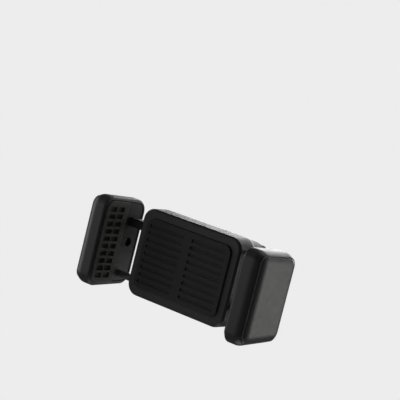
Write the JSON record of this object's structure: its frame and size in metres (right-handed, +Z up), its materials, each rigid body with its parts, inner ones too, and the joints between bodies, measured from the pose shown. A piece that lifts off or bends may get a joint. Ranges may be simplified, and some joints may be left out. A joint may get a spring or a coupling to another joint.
{
  "type": "car phone mount",
  "caption": "Air-vent phone holder with two coupled spring jaws that grip a phone's sides, waffle rubber pads, a ball joint with collar nut and a pronged vent clip.",
  "frame": {"origin": "on the vent clip's axis, at the blade seat between the prongs, where a vent blade's edge rests", "axes": "+X to the user's right across the jaws, +Y away from the user into the vent, +Z up along the phone"},
  "size_m": [0.0868, 0.0744, 0.0372],
  "materials": {
    "jaw_plastic": "satin dark charcoal with a very fine moulded grain",
    "moulded_plastic": "satin black with a fine moulded grain",
    "frame_plastic": "matt black",
    "nut_plastic": "satin black with moulded grip flutes",
    "grip_rubber": "matt warm grey-black silicone rubber",
    "black_rubber": "matt black silicone rubber",
    "nylon": "natural off-white nylon",
    "arm_plastic": "matt black glass-filled nylon",
    "stud_metal": "satin black coated zinc",
    "rod_steel": "ground bright steel",
    "screw_steel": "zinc plated"
  },
  "bodies": {
    "clip": {"clip_hub": "moulded_plastic", "prong_frame": "frame_plastic", "prong_sleeves": "black_rubber", "clip_screws": "screw_steel"},
    "stud": {"ball_stud": "stud_metal", "retainer_washer": "screw_steel", "retainer_screw": "screw_steel"},
    "liner": {"socket_liner": "nylon"},
    "cradle": {"rear_housing": "moulded_plastic", "front_cover": "moulded_plastic", "front_mat": "black_rubber", "cover_screws": "screw_steel", "pinion_screw": "screw_steel", "left_spring": "rod_steel", "right_spring": "rod_steel"},
    "collar": {"collar_nut": "nut_plastic"},
    "pinion": {"pinion_gear": "nylon"},
    "left_jaw": {"left_jaw_shell": "jaw_plastic", "left_jaw_frame": "frame_plastic", "left_grip_pad": "grip_rubber", "left_rack_arm": "arm_plastic", "left_guide_rod": "rod_steel", "left_rod_clip": "screw_steel", "left_jaw_screws": "screw_steel"},
    "right_jaw": {"right_jaw_shell": "jaw_plastic", "right_jaw_frame": "frame_plastic", "right_grip_pad": "grip_rubber", "right_rack_arm": "arm_plastic", "right_guide_rod": "rod_steel", "right_rod_clip": "screw_steel", "right_jaw_screws": "screw_steel"}
  },
  "joints": [
    {"name": "clip_swivel", "type": "hinge", "parent": "clip", "child": "stud", "pos_m": [0, -0.022, 0], "axis": [0, 1, 0], "continuous": true},
    {"name": "ball_pan", "type": "hinge", "parent": "stud", "child": "liner", "pos_m": [0, -0.022, 0], "axis": [0, 0, 1], "range_deg": [-20, 20]},
    {"name": "ball_tilt", "type": "hinge", "parent": "liner", "child": "cradle", "pos_m": [0, -0.022, 0], "axis": [1, 0, 0], "range_deg": [-20, 20]},
    {"name": "collar_turn", "type": "hinge", "parent": "cradle", "child": "collar", "pos_m": [0, -0.022, 0], "axis": [0, 1, 0], "range_deg": [-30, 90]},
    {"name": "left_jaw_slide", "type": "slide", "parent": "cradle", "child": "left_jaw", "axis": [-1, 0, 0], "range_m": [-0.008, 0.0105], "stiffness_N_per_m": 300, "springref_m": -0.02, "deforming": ["left_spring"]},
    {"name": "right_jaw_slide", "type": "slide", "parent": "cradle", "child": "right_jaw", "axis": [1, 0, 0], "range_m": [-0.008, 0.0105], "deforming": ["right_spring"]},
    {"name": "pinion_spin", "type": "hinge", "parent": "cradle", "child": "pinion", "pos_m": [0, -0.0392, 0], "axis": [0, 1, 0], "range_deg": [-102, 78]}
  ],
  "couplings": [
    {"joint": "right_jaw_slide", "follows": "left_jaw_slide", "ratio": 1},
    {"joint": "pinion_spin", "follows": "left_jaw_slide", "rad_per_m": -166.67}
  ]
}
